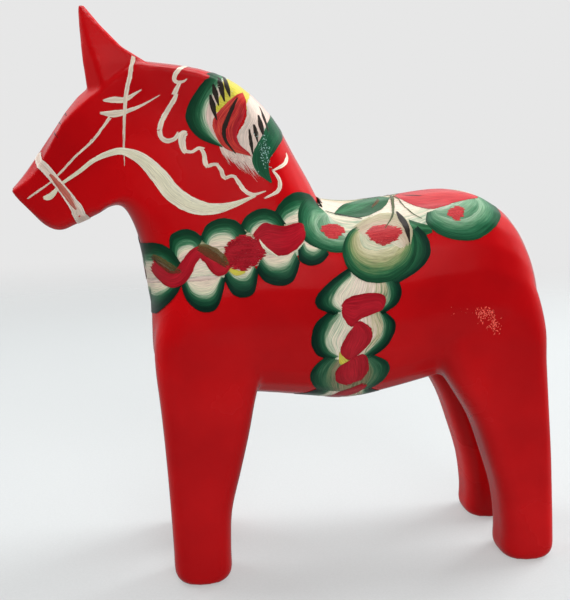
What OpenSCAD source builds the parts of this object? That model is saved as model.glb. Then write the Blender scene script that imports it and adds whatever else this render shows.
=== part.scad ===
// Carved and painted wooden dala horse, glued up from three boards and then carved.
// Frame: head towards -X, tail end towards +X, left flank towards -Y, +Z up,
// feet on Z = 0, and the bounding box centred on X = 0 and Y = 0. Millimetres.

/* [Overall] */
// Height from the feet to the ear tips
total_h = 250; // [200:1:320]
// Length from the nose to the heels
total_l = 246; // [200:1:310]
// Width across the flanks
body_w = 73; // [60:1:90]

/* [Boards] */
// Thickness of the centre board, which is also the gap between the legs
centre_t = 20; // [14:1:26]

/* [Head] */
// Width across the muzzle
muzzle_w = 31; // [24:1:38]
// Height of the ears above the poll
ear_h = 22; // [16:1:24]

/* [Legs] */
// Length of a foot from front to back
foot_l = 26; // [20:1:32]
// Thickness of a leg from side to side
leg_t = 25; // [19:1:27]

/* [Hidden] */
// The stations below are laid out on a horse of this size and then scaled.
NOMINAL_H = 250;
NOMINAL_L = 246;
NOMINAL_W = 73;
FACE_T = 0.02;        // thickness of one station plate
CORNER_STEPS = 6;     // facets in each rounded corner of a station
SMOOTH_STEPS = 3;     // spans drawn between two given stations
EAR_NOMINAL = 22;     // height of an ear in the table below
EAR_ROUND = 0.9;      // radius of an ear's edges
TRUNK_WIDEST = 0.42;  // where the barrel is widest, as a share of the way up
JAW_CORNER = 0.45;    // corners at the jaw, as a share of those at the forehead
THROAT_CORNER = 0.8;  // corners at the throat, as a share of those at the crest
SEAM_CLEAR = 0.35;    // the legs stand this far outside the seams
BIG = 900;            // larger than the horse in every direction

scale_x = total_l / NOMINAL_L;
scale_y = body_w / NOMINAL_W;
scale_z = total_h / NOMINAL_H;
gap_half = centre_t / 2;

lacquer_red = [0.68, 0.06, 0.08];
seam_red = [0.60, 0.05, 0.07];

// One station: [front or lower x, z, rear or upper x, z, half width, across, along, fullness].
// Across and along are the shares of the half width and of the half length that a corner
// takes. Fullness is the power of the corner's curve: 1 is a flat chamfer, 2 an ellipse.

// Trunk, from the chest to the rump, each station upright.
TRUNK = [
    [-65.5, 101, -65.5, 136, 18, 1, 1, 2.25],
    [-62, 92, -62, 147, 27.5, 1, 1, 2.25],
    [-55, 86, -55, 155, 33, 1, 1, 2.25],
    [-40, 82.5, -40, 163, 35.8, 1, 1, 2.25],
    [-18, 81, -18, 169, 36.4, 1, 1, 2.25],
    [4, 78.5, 4, 171, 36.2, 1, 1, 2.25],
    [24, 76.5, 24, 169.5, 36, 1, 1, 2.25],
    [44, 80, 44, 171.5, 36.3, 1, 1, 2.25],
    [66, 85.5, 66, 174.5, 36.5, 1, 1, 2.25],
    [82, 89, 82, 173.5, 36.4, 1, 1, 2.25],
    [92, 90, 92, 168.8, 35.5, 1, 1, 2.25],
    [99, 90, 99, 164, 33.5, 1, 1, 2.25],
    [105, 91, 105, 156, 30.5, 1, 1, 2.25],
    [110, 93, 110, 146, 25.5, 1, 1, 2.25],
    [113.5, 97, 113.5, 135, 19, 1, 1, 2.25],
    [115, 102, 115, 126, 12, 1, 1, 2.25]
];

// Neck, from inside the trunk up to the poll, each station from throat to crest.
NECK = [
    [-61, 104, 26, 126, 35, 1, 0.95, 2.2],
    [-65, 121, 18, 152, 34, 1, 0.9, 2.2],
    [-67.5, 136, 9.5, 172, 31.8, 0.95, 0.72, 2.2],
    [-69.5, 150, -1, 190, 29, 0.88, 0.55, 2.2],
    [-72.5, 161, -11, 206, 27, 0.75, 0.36, 2],
    [-77, 168.5, -26, 219.3, 25, 0.55, 0.18, 1.7],
    [-83, 167.5, -43, 225.8, 23.6, 0.45, 0.1, 1.5],
    [-85, 166, -68, 228.6, 22.4, 0.4, 0.08, 1.3]
];

// Head, from the cheeks to the nose, each station from jaw to forehead.
HEAD = [
    [-85, 166, -68, 228.6, 22.4, 0.4, 0.08, 1.3],
    [-90, 163.5, -89.3, 217.6, 21.2, 0.55, 0.24, 1.1],
    [-95.6, 161, -98.6, 208, 19.5, 0.5, 0.2, 1.05],
    [-97.4, 160.2, -101, 204.6, 19, 0.5, 0.2, 1.05],
    [-103, 158, -107.2, 196, 17.6, 0.5, 0.3, 1.05],
    [-109, 160, -113.3, 187.4, 16.5, 0.5, 0.46, 1.05],
    [-115, 166, -118.6, 180.6, 15.5, 0.55, 0.5, 1.15],
    [-119.4, 171, -123, 175.8, 14, 0.6, 0.5, 1.2]
];

// Front leg, from the shoulder down to the foot, each station level.
FRONT_LEG = [
    [-55, 142, -26, 142, 0.7, 1, 1, 2.2],
    [-61, 128, -18, 128, 0.92, 1, 0.8, 2.2],
    [-64.4, 112, -15.5, 112, 1, 0.9, 0.5, 2.2],
    [-64.4, 98, -17.5, 98, 1, 0.8, 0.42, 2.2],
    [-63, 84, -21, 84, 1, 0.75, 0.42, 2.2],
    [-61.6, 68, -24, 68, 0.98, 0.7, 0.48, 2.2],
    [-60.4, 50, -28, 50, 0.97, 0.7, 0.55, 2.2],
    [-59.4, 32, -32, 32, 0.96, 0.7, 0.65, 2.2],
    [-58.6, 14, -32.6, 14, 0.97, 0.7, 0.68, 2.2],
    [-58.2, 4, -32.4, 4, 0.96, 0.75, 0.7, 2.2],
    [-56, 0, -34.6, 0, 0.84, 0.85, 0.8, 2.2]
];

// Rear leg, from the haunch down to the foot, each station level.
REAR_LEG = [
    [72, 142, 103, 142, 0.7, 1, 1, 2.2],
    [64, 128, 110, 128, 0.95, 1, 0.8, 2.2],
    [59.5, 112, 114, 112, 1, 0.9, 0.5, 2.2],
    [62, 98, 114.6, 98, 1, 0.8, 0.42, 2.2],
    [71, 84, 115.8, 84, 1, 0.75, 0.42, 2.2],
    [81, 68, 117.4, 68, 0.98, 0.7, 0.48, 2.2],
    [88, 50, 119.4, 50, 0.97, 0.7, 0.55, 2.2],
    [94, 32, 121, 32, 0.96, 0.7, 0.65, 2.2],
    [97, 14, 122.4, 14, 0.97, 0.7, 0.68, 2.2],
    [97, 4, 123, 4, 0.96, 0.75, 0.7, 2.2],
    [99, 0, 120.8, 0, 0.84, 0.85, 0.8, 2.2]
];

// Ear, from the poll to the tip, each station level:
// [front x, rear x, height above the poll, inner y, outer y, knife facet on the front corner].
EAR = [
    [-89, -57, -14, 3, 21.6, 7],
    [-90.4, -64, -1, 3.8, 20.6, 4.6],
    [-90.9, -74.5, 5.5, 5.8, 19.1, 3],
    [-91.4, -83.2, 14.5, 8.8, 16.3, 1.2],
    [-91.8, -89.3, 22, 11.2, 13.4, 0.3]
];

// Catmull-Rom point between row i and row i + 1 of a station table.
function at_row(rows, i) = rows[max(0, min(len(rows) - 1, i))];
function blend(rows, i, t) =
    let(p0 = at_row(rows, i - 1), p1 = at_row(rows, i))
    let(p2 = at_row(rows, i + 1), p3 = at_row(rows, i + 2))
    0.5 * (2 * p1 + (p2 - p0) * t
        + (2 * p0 - 5 * p1 + 4 * p2 - p3) * t * t
        + (3 * p1 - p0 - 3 * p2 + p3) * t * t * t);

// A station table filled in with SMOOTH_STEPS spans between its rows.
function smooth(rows) = [
    for (i = [0 : len(rows) - 2]) for (k = [0 : SMOOTH_STEPS - 1]) blend(rows, i, k / SMOOTH_STEPS),
    rows[len(rows) - 1]
];

// Rounded outline of one station: x runs across the horse, y from its lower to its
// upper end, and the widest line lies at the given share of the way up. The lower
// corners are the given share of the upper ones.
function station_outline(span, half_w, shares, fullness, widest, lower) =
    [
        for (quarter = [0 : 3]) for (k = [0 : CORNER_STEPS])
            let(angle = 90 * k / CORNER_STEPS)
            let(turn = quarter % 2 == 0 ? angle : 90 - angle)
            let(side = quarter == 0 || quarter == 3 ? 1 : -1)
            let(end = quarter < 2 ? 1 : -1)
            let(reach = span * (quarter < 2 ? 1 - widest : widest))
            let(corner = quarter < 2 ? 1 : lower)
            let(corner_w = half_w * shares[0] * corner)
            let(corner_l = reach * shares[1] * corner)
            let(out_w = half_w - corner_w + corner_w * pow(cos(turn), 2 / fullness))
            let(out_l = reach - corner_l + corner_l * pow(sin(turn), 2 / fullness))
            [side * out_w, end * out_l + span * (widest - 0.5)]
    ];

// One thin plate standing on the line from the station's first point to its second.
module station(s, mid_y, half_w, widest, lower) {
    dx = s[2] - s[0];
    dz = s[3] - s[1];
    translate([(s[0] + s[2]) / 2, mid_y, (s[1] + s[3]) / 2])
        rotate([0, atan2(dx, dz), 0])
            rotate([0, 0, 90])
                rotate([90, 0, 0])
                    linear_extrude(height = FACE_T, center = true)
                        polygon(station_outline(norm([dx, dz]), half_w, [s[5], s[6]], s[7], widest, lower));
}

// Skin over a row of stations, each pair joined by its own hull.
module loft(rows, mid_y = 0, width = 1, widest = 0.5, lower = 1) {
    for (i = [0 : len(rows) - 2])
        hull() {
            station(rows[i], mid_y, rows[i][4] * width, widest, lower);
            station(rows[i + 1], mid_y, rows[i + 1][4] * width, widest, lower);
        }
}

// The head narrows towards a muzzle of the given width.
function head_rows() = [
    for (i = [0 : len(HEAD) - 1])
        let(share = i / (len(HEAD) - 1))
        let(factor = 1 + (muzzle_w / 31 - 1) * share)
        [for (k = [0 : 7]) k == 4 ? HEAD[i][k] * factor : HEAD[i][k]]
];

// A leg whose stations are stretched about their own middle to the wanted foot length.
function leg_rows(rows) = [
    for (r = rows)
        let(mid = (r[0] + r[2]) / 2)
        let(drop = 1 - min(1, r[1] / 84))
        let(factor = 1 + (foot_l / 26 - 1) * drop)
        [mid + (r[0] - mid) * factor, r[1], mid + (r[2] - mid) * factor, r[3], r[4], r[5], r[6], r[7]]
];

// One leg on the side given by hand, standing just outside the centre board's face.
module leg(rows, hand) {
    half_t = leg_t / 2;
    inner_y = (gap_half + SEAM_CLEAR) / scale_y;
    loft(smooth(leg_rows(rows)), hand * (inner_y + half_t), half_t);
}

// One level plate of an ear: five small rounds, the front outer corner cut back.
module ear_plate(s, hand) {
    front = s[0] + EAR_ROUND;
    rear = s[1] - EAR_ROUND;
    inner = s[3] + EAR_ROUND;
    outer = s[4] - EAR_ROUND;
    cut = min(s[5], outer - inner);
    corners = [[front, inner], [front, outer - cut], [front + cut, outer], [rear, outer], [rear, inner]];
    for (corner = corners)
        translate([corner[0], hand * corner[1], NOMINAL_H - EAR_NOMINAL + s[2] * ear_h / EAR_NOMINAL])
            cylinder(h = FACE_T, r = EAR_ROUND, center = true, $fn = 8);
}

// One ear on the side given by hand: a leaning blade that thins to its tip.
module ear(hand) {
    for (i = [0 : len(EAR) - 2])
        hull() {
            ear_plate(EAR[i], hand);
            ear_plate(EAR[i + 1], hand);
        }
}

// The whole carved form at its nominal size.
module carved_form() {
    loft(smooth(TRUNK), widest = TRUNK_WIDEST);
    loft(smooth(NECK), lower = THROAT_CORNER);
    loft(smooth(head_rows()), lower = JAW_CORNER);
    for (hand = [-1, 1]) {
        ear(hand);
        leg(FRONT_LEG, hand);
        leg(REAR_LEG, hand);
    }
}

// The carved form kept between two planes parallel to the flanks, and above the floor.
module board(y_from, y_to) {
    union()
        intersection() {
            scale([scale_x, scale_y, scale_z])
                carved_form();
            translate([-BIG / 2, y_from, 0])
                cube([BIG, y_to - y_from, total_h]);
        }
}

module left_board() {
    color(lacquer_red)
        board(-BIG / 2, -gap_half);
}

module centre_board() {
    color(seam_red)
        board(-gap_half, gap_half);
}

module right_board() {
    color(lacquer_red)
        board(gap_half, BIG / 2);
}

left_board();
centre_board();
right_board();
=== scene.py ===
"""Looks of the dala horse: a carved, lacquered body under a brush-painted harness.

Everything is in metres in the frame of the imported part: head towards -X, left
flank towards -Y, +Z up. Lengths and places in the paint tables are in millimetres.
"""

import math
import random

import bmesh
import bpy
import numpy as np
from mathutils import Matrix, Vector
from mathutils.bvhtree import BVHTree


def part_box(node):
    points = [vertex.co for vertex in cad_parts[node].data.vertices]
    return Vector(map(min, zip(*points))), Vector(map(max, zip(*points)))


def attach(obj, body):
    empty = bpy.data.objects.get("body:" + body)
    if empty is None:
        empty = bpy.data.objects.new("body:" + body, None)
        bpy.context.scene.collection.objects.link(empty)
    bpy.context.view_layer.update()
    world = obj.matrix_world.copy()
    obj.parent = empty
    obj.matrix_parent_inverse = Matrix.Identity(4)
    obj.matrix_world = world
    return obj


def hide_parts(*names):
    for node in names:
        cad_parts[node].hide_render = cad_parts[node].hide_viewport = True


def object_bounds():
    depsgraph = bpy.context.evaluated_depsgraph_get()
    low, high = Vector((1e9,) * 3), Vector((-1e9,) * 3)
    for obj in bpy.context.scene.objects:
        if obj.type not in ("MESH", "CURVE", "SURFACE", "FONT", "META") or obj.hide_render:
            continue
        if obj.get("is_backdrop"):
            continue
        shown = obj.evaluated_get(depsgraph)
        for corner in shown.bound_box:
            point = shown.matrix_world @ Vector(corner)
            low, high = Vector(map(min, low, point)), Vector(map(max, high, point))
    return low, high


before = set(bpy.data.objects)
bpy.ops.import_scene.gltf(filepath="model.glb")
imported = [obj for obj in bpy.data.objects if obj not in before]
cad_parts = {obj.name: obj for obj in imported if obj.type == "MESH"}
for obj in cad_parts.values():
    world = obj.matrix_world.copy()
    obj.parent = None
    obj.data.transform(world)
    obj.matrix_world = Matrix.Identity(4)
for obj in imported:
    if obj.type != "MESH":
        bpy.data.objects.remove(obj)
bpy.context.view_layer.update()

MM = 0.001
BOARDS = ("left_board", "centre_board", "right_board")
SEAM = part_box("centre_board")[1].y  # half the thickness of the centre board
SEAM_OVERLAP = 0.6 * MM  # how far the boards are pushed together before they fuse
SKIN_VOXEL = 0.95 * MM
SKIN_ROUNDS = 12  # rounds of smoothing that wear the knife facets down
SMOOTHING = 0.5  # how far a round moves a point towards the middle of its neighbours
CRISP_HEAD = 0.08  # share of the smoothing that reaches the head, the ears and the crest
CRISP_LEG = 0.35  # share that reaches the legs
CRISP_SOLE = 0.5  # share that reaches the edges of the feet
TRUNK_AXIS = 122 * MM  # height of the line that trunk angles are measured round
DEGREE_WIDTH = 0.85  # millimetres of the back to one degree of trunk angle
FAR = 200  # mm from which places are cast on to the skin
SIDE_DEPTH = 12  # mm off the middle that a flank's places are cast at

PAINT_THICKNESS = 0.1 * MM
PAINT_LAYER = 0.035 * MM  # what each further coat adds
PAINT_ROOT = 0.15 * MM  # how deep a stroke's underside sits in the wood
EDGE_RISE = 0.15 * MM  # most that a stroke is raised over a sharp edge
STEP_ALONG = 0.6 * MM  # spacing of a stroke's points along it and across it
STEP_ACROSS = 0.5 * MM
MOST_TURN = 2.0  # radians of bend that a broad stroke is bowed for
THINNEST = 0.2 * MM  # least width of a stroke
SEED_RANGE = 900  # how far apart, in mm, the streaks of two strokes may start
BOW_SHARE = 0.2  # how far a heart reaches under the stroke round it
HATCH_OVERLAP = 2.6  # width of a hatching stroke in gaps between strokes
HATCH_SLIP = 0.7  # how unevenly, in mm, the hatching strokes start and stop


# ---------------------------------------------------------------- node helpers


def new_material(name):
    """An empty node material and its shader."""
    material = bpy.data.materials.new(name)
    material.use_nodes = True
    tree = material.node_tree
    return material, tree, tree.nodes["Principled BSDF"]


def set_up(node, **settings):
    """Sets a node's properties and, by name, the values of its own input sockets."""
    for key, value in settings.items():
        if hasattr(node, key):
            setattr(node, key, value)
        else:
            node.inputs[key.replace("_", " ")].default_value = value


def add_node(tree, kind, **settings):
    """A new node, set up."""
    node = tree.nodes.new(kind)
    set_up(node, **settings)
    return node


def ramp(tree, fac, stops):
    """A colour ramp fed by fac, with (position, colour) stops."""
    node = tree.nodes.new("ShaderNodeValToRGB")
    elements = node.color_ramp.elements
    while len(elements) > 1:
        elements.remove(elements[-1])
    elements[0].position = stops[0][0]
    elements[0].color = (*stops[0][1], 1)
    for position, colour in stops[1:]:
        elements.new(position).color = (*colour, 1)
    tree.links.new(fac, node.inputs[0])
    return node.outputs[0]


def math_node(tree, operation, a, b, c=None):
    """One arithmetic step between sockets or plain numbers."""
    node = tree.nodes.new("ShaderNodeMath")
    node.operation = operation
    for socket, value in zip(node.inputs, (a, b, c)):
        if value is None:
            continue
        if isinstance(value, (int, float)):
            socket.default_value = value
        else:
            tree.links.new(value, socket)
    return node.outputs[0]


def mix_colour(tree, fac, a, b, blend="MIX"):
    """Colour mix of two sockets or plain colours."""
    node = tree.nodes.new("ShaderNodeMix")
    node.data_type = "RGBA"
    node.blend_type = blend
    for socket, value in ((node.inputs[0], fac), (node.inputs[6], a), (node.inputs[7], b)):
        if isinstance(value, (int, float)):
            socket.default_value = value
        elif isinstance(value, tuple):
            socket.default_value = (*value, 1)
        else:
            tree.links.new(value, socket)
    return node.outputs[2]


def noise(tree, vector, scale, detail=3.0, roughness=0.5):
    """Noise value over the given coordinates."""
    node = add_node(tree, "ShaderNodeTexNoise", Scale=scale, Detail=detail, Roughness=roughness)
    tree.links.new(vector, node.inputs["Vector"])
    return node.outputs[0]


def bump(tree, height, distance, strength=1.0, normal=None):
    """A bump whose height is in metres once multiplied by distance."""
    node = add_node(tree, "ShaderNodeBump", Distance=distance, Strength=strength)
    tree.links.new(height, node.inputs["Height"])
    if normal is not None:
        tree.links.new(normal, node.inputs["Normal"])
    return node.outputs[0]


def linear(*srgb):
    """A display colour in 0 to 255 as the linear colour that shaders take."""
    shares = [value / 255 for value in srgb]
    return tuple(s / 12.92 if s < 0.04045 else ((s + 0.055) / 1.055) ** 2.4 for s in shares)


def place_object(name, data):
    """A new object in the scene."""
    thing = bpy.data.objects.new(name, data)
    bpy.context.scene.collection.objects.link(thing)
    return thing


def grey(value):
    """A neutral colour."""
    return (value, value, value)


# ------------------------------------------------------------------- the skin


def fused_skin():
    """One closed surface over the three boards, its knife facets slightly worn."""
    joined = bmesh.new()
    for name in BOARDS:
        board = bmesh.new()
        board.from_mesh(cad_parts[name].data)
        bmesh.ops.remove_doubles(board, verts=board.verts, dist=0.002 * MM)
        if name == "centre_board":
            for vert in board.verts:
                if abs(abs(vert.co.y) - SEAM) < 0.01 * MM:
                    vert.co.y += math.copysign(SEAM_OVERLAP, vert.co.y)
        part = bpy.data.meshes.new(name + "_part")
        board.to_mesh(part)
        board.free()
        joined.from_mesh(part)
        bpy.data.meshes.remove(part)
    mesh = bpy.data.meshes.new("fused")
    joined.to_mesh(mesh)
    joined.free()
    thing = place_object("fused", mesh)
    remesh = thing.modifiers.new("remesh", "REMESH")
    remesh.mode = "VOXEL"
    remesh.voxel_size = SKIN_VOXEL
    graph = bpy.context.evaluated_depsgraph_get()
    skin = bpy.data.meshes.new_from_object(thing.evaluated_get(graph))
    bpy.data.objects.remove(thing)
    bpy.data.meshes.remove(mesh)
    wear_down(skin)
    return skin


def ease(values, start, end):
    """0 before start, 1 after end, and a smooth rise between them."""
    share = np.clip((values - start) / (end - start), 0, 1)
    return share * share * (3 - 2 * share)


def wear_down(mesh):
    """Smooths a mesh towards its neighbours' middles, less at the head, crest, legs and soles."""
    count = len(mesh.vertices)
    places = np.zeros(count * 3)
    mesh.vertices.foreach_get("co", places)
    places = places.reshape(-1, 3)
    edges = np.zeros(len(mesh.edges) * 2, np.int64)
    mesh.edges.foreach_get("vertices", edges)
    ends = np.concatenate((edges[0::2], edges[1::2]))
    others = np.concatenate((edges[1::2], edges[0::2]))
    links = np.bincount(ends, minlength=count)
    head = ease(-places[:, 0], 60 * MM, 90 * MM) * ease(places[:, 2], 145 * MM, 165 * MM)
    head = np.maximum(head, ease(places[:, 2], 185 * MM, 205 * MM))
    leg = 1 - ease(places[:, 2], 60 * MM, 95 * MM)
    sole = 1 - ease(places[:, 2], 1 * MM, 4 * MM)
    share = np.full(count, SMOOTHING)
    for crisp, zone in ((CRISP_HEAD, head), (CRISP_LEG, leg), (CRISP_SOLE, sole)):
        share *= 1 - (1 - crisp) * zone
    for _ in range(SKIN_ROUNDS):
        sums = [np.bincount(ends, places[others, axis], count) for axis in range(3)]
        middles = np.stack(sums, 1) / links[:, None]
        places += (middles - places) * share[:, None]
    places[:, 2] = np.maximum(places[:, 2], 0)
    mesh.vertices.foreach_set("co", places.ravel())
    mesh.update()


def vertex_normals(mesh):
    """Vertex normals as an array."""
    normals = np.zeros(len(mesh.vertices) * 3, np.float32)
    mesh.vertices.foreach_get("normal", normals)
    return normals.reshape(-1, 3)


class Skin:
    """The fused surface with its normals, for placing paint and for shading the boards."""

    def __init__(self):
        self.mesh = fused_skin()
        self.normals = vertex_normals(self.mesh)
        self.places = [v.co.copy() for v in self.mesh.vertices]
        self.faces = [tuple(p.vertices) for p in self.mesh.polygons]
        self.tree = BVHTree.FromPolygons(self.places, self.faces)

    def normal_at(self, point, face):
        """Normal blended from the corners of a face by their distance to the point."""
        total = Vector((0, 0, 0))
        for index in self.faces[face]:
            gap = (self.places[index] - point).length
            total += Vector(self.normals[index]) / (gap + 0.05 * MM)
        return total.normalized()

    def nearest(self, point):
        """Closest point of the skin and its normal."""
        spot, _, face, _ = self.tree.find_nearest(point)
        return spot, self.normal_at(spot, face)

    def cast(self, start, aim):
        """First point of the skin on the way from start towards aim, or the closest to aim."""
        spot = self.tree.ray_cast(start, aim - start)[0]
        return spot if spot is not None else self.tree.find_nearest(aim)[0]

    def side(self, place, hand):
        """The (x, z) place of a flank, seen square on from the left (-1) or the right (1)."""
        x, z = place
        return self.cast(Vector((x, hand * FAR, z)) * MM, Vector((x, hand * SIDE_DEPTH, z)) * MM)

    def trunk(self, place, hand):
        """The (x, degrees) place of the trunk: 0 on the back, 90 on the flank, 180 below."""
        x, degrees = place
        turn = math.radians(degrees)
        way = Vector((0, hand * math.sin(turn), math.cos(turn)))
        axis = Vector((x * MM, 0, TRUNK_AXIS))
        return self.cast(axis + way * (FAR * MM), axis)

    def front(self, place, hand):
        """The (y, z) place of the chest, seen from ahead; y grows towards the flank."""
        y, z = place
        return self.cast(Vector((-FAR, hand * y, z)) * MM, Vector((0, hand * y, z)) * MM)


def board_piece(skin, name, low, high):
    """The part of the skin between two seam planes, closed on the planes."""
    bm = bmesh.new()
    bm.from_mesh(skin.mesh)
    for plane, keep_above in ((low, True), (high, False)):
        if plane is None:
            continue
        cut = bmesh.ops.bisect_plane(
            bm,
            geom=bm.verts[:] + bm.edges[:] + bm.faces[:],
            plane_co=(0, plane, 0),
            plane_no=(0, 1, 0),
            clear_inner=keep_above,
            clear_outer=not keep_above,
        )
        edges = [g for g in cut["geom_cut"] if isinstance(g, bmesh.types.BMEdge)]
        filled = bmesh.ops.triangle_fill(bm, use_beauty=True, edges=edges)
        for face in filled["geom"]:
            if isinstance(face, bmesh.types.BMFace):
                face.material_index = 1
    bmesh.ops.recalc_face_normals(bm, faces=bm.faces)
    mesh = bpy.data.meshes.new(name)
    bm.to_mesh(mesh)
    bm.free()
    for polygon in mesh.polygons:
        polygon.use_smooth = True
    seam_vertices = {}
    normals = []
    for polygon in mesh.polygons:
        for index in polygon.vertices:
            if polygon.material_index == 1:
                normals.append(polygon.normal.copy())
                continue
            if index not in seam_vertices:
                seam_vertices[index] = skin.nearest(mesh.vertices[index].co)[1]
            normals.append(seam_vertices[index])
    mesh.normals_split_custom_set(normals)
    return place_object(name, mesh)


# ------------------------------------------------------------------ paint strokes


def line_through(knots, count=None):
    """Evenly spaced points on a smooth line through the knots, and its length."""
    knots = np.array(knots, float)
    ends = (2 * knots[:1] - knots[1:2], knots, 2 * knots[-1:] - knots[-2:-1])
    padded = np.concatenate(ends)
    dense = []
    for first in range(len(knots) - 1):
        a, b, c, d = padded[first : first + 4]
        for t in np.linspace(0, 1, 12, endpoint=False):
            bend = (2 * a - 5 * b + 4 * c - d) * t * t + (3 * b - a - 3 * c + d) * t**3
            dense.append(b + 0.5 * ((c - a) * t + bend))
    dense = np.array(dense + [knots[-1]])
    gaps = np.linalg.norm(np.diff(dense[:, :3], axis=0), axis=1)
    run = np.concatenate(([0], np.cumsum(gaps)))
    if count is None:
        count = max(4, math.ceil(run[-1] / STEP_ALONG) + 1)
    spots = np.linspace(0, run[-1], count)
    return np.stack([np.interp(spots, run, column) for column in dense.T], 1), run[-1]


def edge_rise(spots, normals):
    """Extra height, up to EDGE_RISE, that carries a stroke over a sharp edge."""
    rise = np.zeros(spots.shape[:2])
    for turned in (False, True):
        places, ways, lifts = (a.swapaxes(0, 1) if turned else a for a in (spots, normals, rise))
        gap = np.linalg.norm(np.diff(places, axis=0), axis=2)
        turn = np.linalg.norm(np.diff(ways, axis=0), axis=2)
        lifts[:-1] = np.maximum(lifts[:-1], gap * turn / 4)
        lifts[1:] = np.maximum(lifts[1:], gap * turn / 4)
    return np.minimum(rise, EDGE_RISE)


class Paint:
    """Brush strokes on one flank (hand -1 left, 1 right), gathered into one piece."""

    def __init__(self, skin, hand, unsteady, seed):
        self.skin = skin
        self.chart = "side"  # how the pattern's places are laid on the skin
        self.hand = hand
        self.unsteady = unsteady  # how far the hand strays from the pattern, in mm
        self.chance = random.Random(seed)
        self.points = []
        self.normals = []
        self.faces = []
        self.face_finish = []
        self.face_under = []
        self.stroke = []
        self.touch = []
        self.finishes = []

    def spots(self, places):
        """Knots on the skin for the pattern's places."""
        to_skin = getattr(self.skin, self.chart)
        found = []
        for place in places:
            strayed = [v + self.chance.gauss(0, self.unsteady) for v in place[:2]]
            found.append(list(to_skin(strayed, self.hand)))
        return found

    def ribbon(self, finish, places, coat=0, dry=0.0):
        """A stroke along a line; each place carries its own width."""
        spots = self.spots(places)
        knots = [spot + [place[2] * MM] for spot, place in zip(spots, places)]
        line, length = line_through(knots)
        ways = np.gradient(line[:, :3], axis=0)
        widest = max(place[2] for place in places) * MM
        across = max(3, math.ceil(widest / STEP_ACROSS) + 1)
        grid = []
        for point, way in zip(line, ways):
            spot, normal = self.skin.nearest(Vector(point[:3]))
            aside = Vector(way).cross(normal).normalized() * max(point[3], THINNEST)
            grid.append([spot + aside * share for share in np.linspace(-0.5, 0.5, across)])
        self.lay(finish, grid, length, widest, coat, dry)

    def arch(self, start, end, shares):
        """Points from start to end, bowed out of the wood as far as the skin turns on the way."""
        ways = [self.skin.nearest(point)[1] for point in (start, end)]
        hollow = (ways[1] - ways[0]).dot(end - start) <= 0
        turn = 0 if hollow else min(ways[0].angle(ways[1]), MOST_TURN)
        bow = (ways[0] + ways[1]).normalized() * math.tan(turn / 2) * (end - start).length / 2
        return [start.lerp(end, share) + bow * (4 * share * (1 - share)) for share in shares]

    def fan(self, finish, outer, inner, coat=0):
        """A broad stroke between an inner line and an outer one."""
        outer, length = line_through(self.spots(outer))
        inner, _ = line_through(self.spots(inner), len(outer))
        width = float(np.linalg.norm(outer - inner, axis=1).max())
        across = max(3, math.ceil(width / STEP_ACROSS) + 1)
        shares = np.linspace(0, 1, across)
        grid = [self.arch(Vector(i), Vector(o), shares) for i, o in zip(inner, outer)]
        self.lay(finish, grid, length, width, coat)

    def lay(self, finish, grid, length, width, coat, dry=0.0):
        """Adds one stroke: a thin closed shell over the grid, its underside in the wood."""
        if finish not in self.finishes:
            self.finishes.append(finish)
        slot = self.finishes.index(finish)
        rows, columns = len(grid), len(grid[0])
        found = [self.skin.nearest(point) for line in grid for point in line]
        spots = np.array([spot for spot, _ in found]).reshape(rows, columns, 3)
        normals = np.array([normal for _, normal in found]).reshape(rows, columns, 3)
        lift = PAINT_THICKNESS + coat * PAINT_LAYER + edge_rise(spots, normals)
        top = spots + normals * lift[:, :, None]
        bottom = spots - normals * PAINT_ROOT
        base = len(self.points)
        size = rows * columns
        for layer in (top, bottom):
            self.points += [Vector(point) for point in layer.reshape(-1, 3)]
            self.normals += [Vector(normal) for normal in normals.reshape(-1, 3)]
        seed = self.chance.random() * SEED_RANGE
        for row in range(rows):
            for column in range(columns):
                run, share = row / (rows - 1), column / (columns - 1)
                side = min(share, 1 - share) * width / MM
                end = min(run, 1 - run) * length / MM
                self.stroke.append((run * length / MM + seed, share * width / MM, share))
                self.touch.append((side, end, 1 - dry * run))
        self.stroke += self.stroke[-size:]
        self.touch += self.touch[-size:]

        r, c = rows // 2, columns // 2
        onward, aside = spots[r, c] - spots[r - 1, c], spots[r, c] - spots[r, c - 1]
        upright = np.dot(np.cross(onward, aside), normals[r, c]) > 0

        def at(row, column, under):
            return base + row * columns + column + (size if under else 0)

        def add(corners, under):
            self.faces.append(corners if upright else corners[::-1])
            self.face_finish.append(slot)
            self.face_under.append(under)

        for r in range(rows - 1):
            for c in range(columns - 1):
                quad = [(r, c), (r + 1, c), (r + 1, c + 1), (r, c + 1)]
                add([at(*corner, False) for corner in quad], False)
                add([at(*corner, True) for corner in quad[::-1]], True)
        ring = [(r, 0) for r in range(rows - 1)]
        ring += [(rows - 1, c) for c in range(columns - 1)]
        ring += [(r, columns - 1) for r in range(rows - 1, 0, -1)]
        ring += [(0, c) for c in range(columns - 1, 0, -1)]
        for one, two in zip(ring, ring[1:] + ring[:1]):
            add([at(*two, False), at(*one, False), at(*one, True), at(*two, True)], False)

    def piece(self, name, materials):
        """The strokes as one object that rides on the horse."""
        mesh = bpy.data.meshes.new(name)
        mesh.from_pydata(self.points, [], self.faces)
        for key, values in (("stroke", self.stroke), ("touch", self.touch)):
            attribute = mesh.attributes.new(key, "FLOAT_VECTOR", "POINT")
            attribute.data.foreach_set("vector", np.array(values, np.float32).ravel())
        mesh.polygons.foreach_set("material_index", self.face_finish)
        mesh.polygons.foreach_set("use_smooth", [True] * len(self.faces))
        normals = []
        for corners, under in zip(self.faces, self.face_under):
            normals += [-self.normals[i] if under else self.normals[i] for i in corners]
        mesh.normals_split_custom_set(normals)
        for finish in self.finishes:
            mesh.materials.append(materials[finish])
        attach(place_object(name, mesh), "root")


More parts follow.
